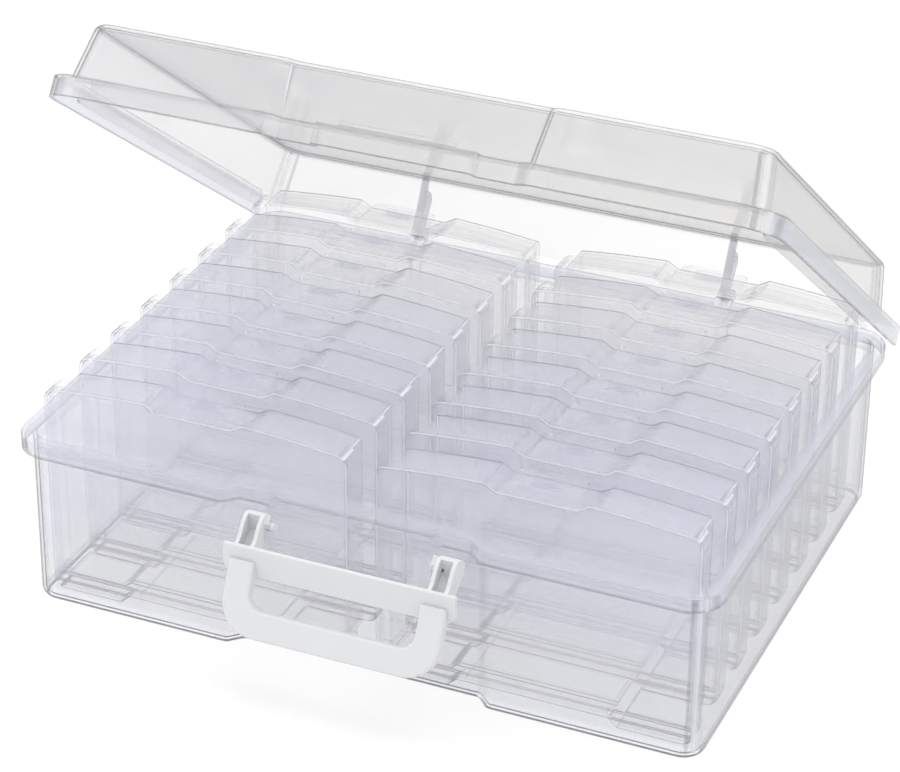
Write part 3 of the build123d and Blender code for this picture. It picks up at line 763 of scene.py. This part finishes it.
def softbox(name, at, size, power):
    data = bpy.data.lights.new(name, "AREA")
    data.shape = "RECTANGLE"
    data.size, data.size_y = size
    data.energy = power
    lamp = bpy.data.objects.new(name, data)
    lamp.location = at
    lamp.rotation_euler = (Vector(LIGHTS_AIM) - Vector(at)).to_track_quat("-Z", "Y").to_euler()
    bpy.context.scene.collection.objects.link(lamp)


def white_world(strength):
    """An even white surround, a little brighter overhead, that shows as plain white."""
    world = bpy.data.worlds.new("white surround")
    world.use_nodes = True
    nodes, links = world.node_tree.nodes, world.node_tree.links
    nodes.clear()
    toward = nodes.new("ShaderNodeTexCoord").outputs["Generated"]
    toward_parts = nodes.new("ShaderNodeSeparateXYZ")
    links.new(toward, toward_parts.inputs["Vector"])
    light = nodes.new("ShaderNodeBackground")
    glow = remap(nodes, links, toward_parts.outputs["Z"], 0.0, OVERHEAD_FROM,
                 strength * HORIZON_SHARE, strength * OVERHEAD_SHARE)
    links.new(glow, light.inputs["Strength"])
    light.inputs["Color"].default_value = (1.0, 1.0, 1.0, 1.0)
    seen = nodes.new("ShaderNodeBackground")
    seen.inputs["Strength"].default_value = 1.0
    path = nodes.new("ShaderNodeLightPath")
    pick = nodes.new("ShaderNodeMixShader")
    links.new(path.outputs["Is Camera Ray"], pick.inputs["Fac"])
    links.new(light.outputs["Background"], pick.inputs[1])
    links.new(seen.outputs["Background"], pick.inputs[2])
    out = nodes.new("ShaderNodeOutputWorld")
    links.new(pick.outputs["Shader"], out.inputs["Surface"])
    bpy.context.scene.world = world


class SetStage(bpy.types.Operator):
    """Lay the floor, hang the lights and place the camera"""

    bl_idname = "photocase.set_stage"
    bl_label = "Studio"

    def execute(self, context):
        scene = context.scene
        studio = scene.studio_look
        mesh = bpy.data.meshes.new("studio_floor")
        half = FLOOR_HALF
        corners = [(-half, -half, 0), (half, -half, 0), (half, half, 0), (-half, half, 0)]
        mesh.from_pydata(corners, [], [(0, 1, 2, 3)])
        floor = bpy.data.objects.new("studio_floor", mesh)
        floor.data.materials.append(floor_material(studio.floor_shade))
        scene.collection.objects.link(floor)
        softbox("top light", TOP_LIGHT_AT, TOP_LIGHT_SIZE, studio.key_power)
        softbox("side light", SIDE_LIGHT_AT, SIDE_LIGHT_SIZE, studio.side_power)
        white_world(studio.ambient)
        data = bpy.data.cameras.new("photo camera")
        data.sensor_width = 36.0
        data.lens = studio.lens
        camera = bpy.data.objects.new("photo camera", data)
        turn = Matrix((CAMERA_RIGHT, CAMERA_UP, -CAMERA_FORWARD)).transposed()
        camera.matrix_world = Matrix.Translation(CAMERA_AT) @ turn.to_4x4()
        scene.collection.objects.link(camera)
        scene.camera = camera
        scene.view_settings.view_transform = "Standard"
        scene.cycles.transparent_max_bounces = 128
        scene.cycles.max_bounces = 6
        scene.cycles.glossy_bounces = 2
        scene.cycles.diffuse_bounces = 2
        return {"FINISHED"}


# ---- panel and registration -----------------------------------------------------------


class PhotoCasePanel(bpy.types.Panel):
    """Sidebar panel that lists the case's pieces"""

    bl_idname = "VIEW3D_PT_photo_case"
    bl_label = "Photo Keeper Case"
    bl_space_type = "VIEW_3D"
    bl_region_type = "UI"
    bl_category = "Photo Case"

    def draw(self, context):
        for group in (
            context.scene.plastic_look, context.scene.ridge_sizes, context.scene.studio_look
        ):
            box = self.layout.box()
            for name in group.__annotations__:
                box.prop(group, name)
        for operator in OPERATORS:
            self.layout.operator(operator.bl_idname)


OPERATORS = (DressTub, DressLid, DressHandle, DressCases, AddRidges, SetStage)
GROUPS = (
    ("plastic_look", PlasticLook), ("ridge_sizes", RidgeSizes), ("studio_look", StudioLook),
)


def register():
    for name, group in GROUPS:
        bpy.utils.register_class(group)
        setattr(bpy.types.Scene, name, bpy.props.PointerProperty(type=group))
    for cls in (*OPERATORS, PhotoCasePanel):
        bpy.utils.register_class(cls)


def unregister():
    for cls in reversed((*OPERATORS, PhotoCasePanel)):
        bpy.utils.unregister_class(cls)
    for name, group in reversed(GROUPS):
        delattr(bpy.types.Scene, name)
        bpy.utils.unregister_class(group)


def main():
    register()
    for operator in OPERATORS:
        group, name = operator.bl_idname.split(".")
        getattr(getattr(bpy.ops, group), name)()


if __name__ == "__main__":
    main()
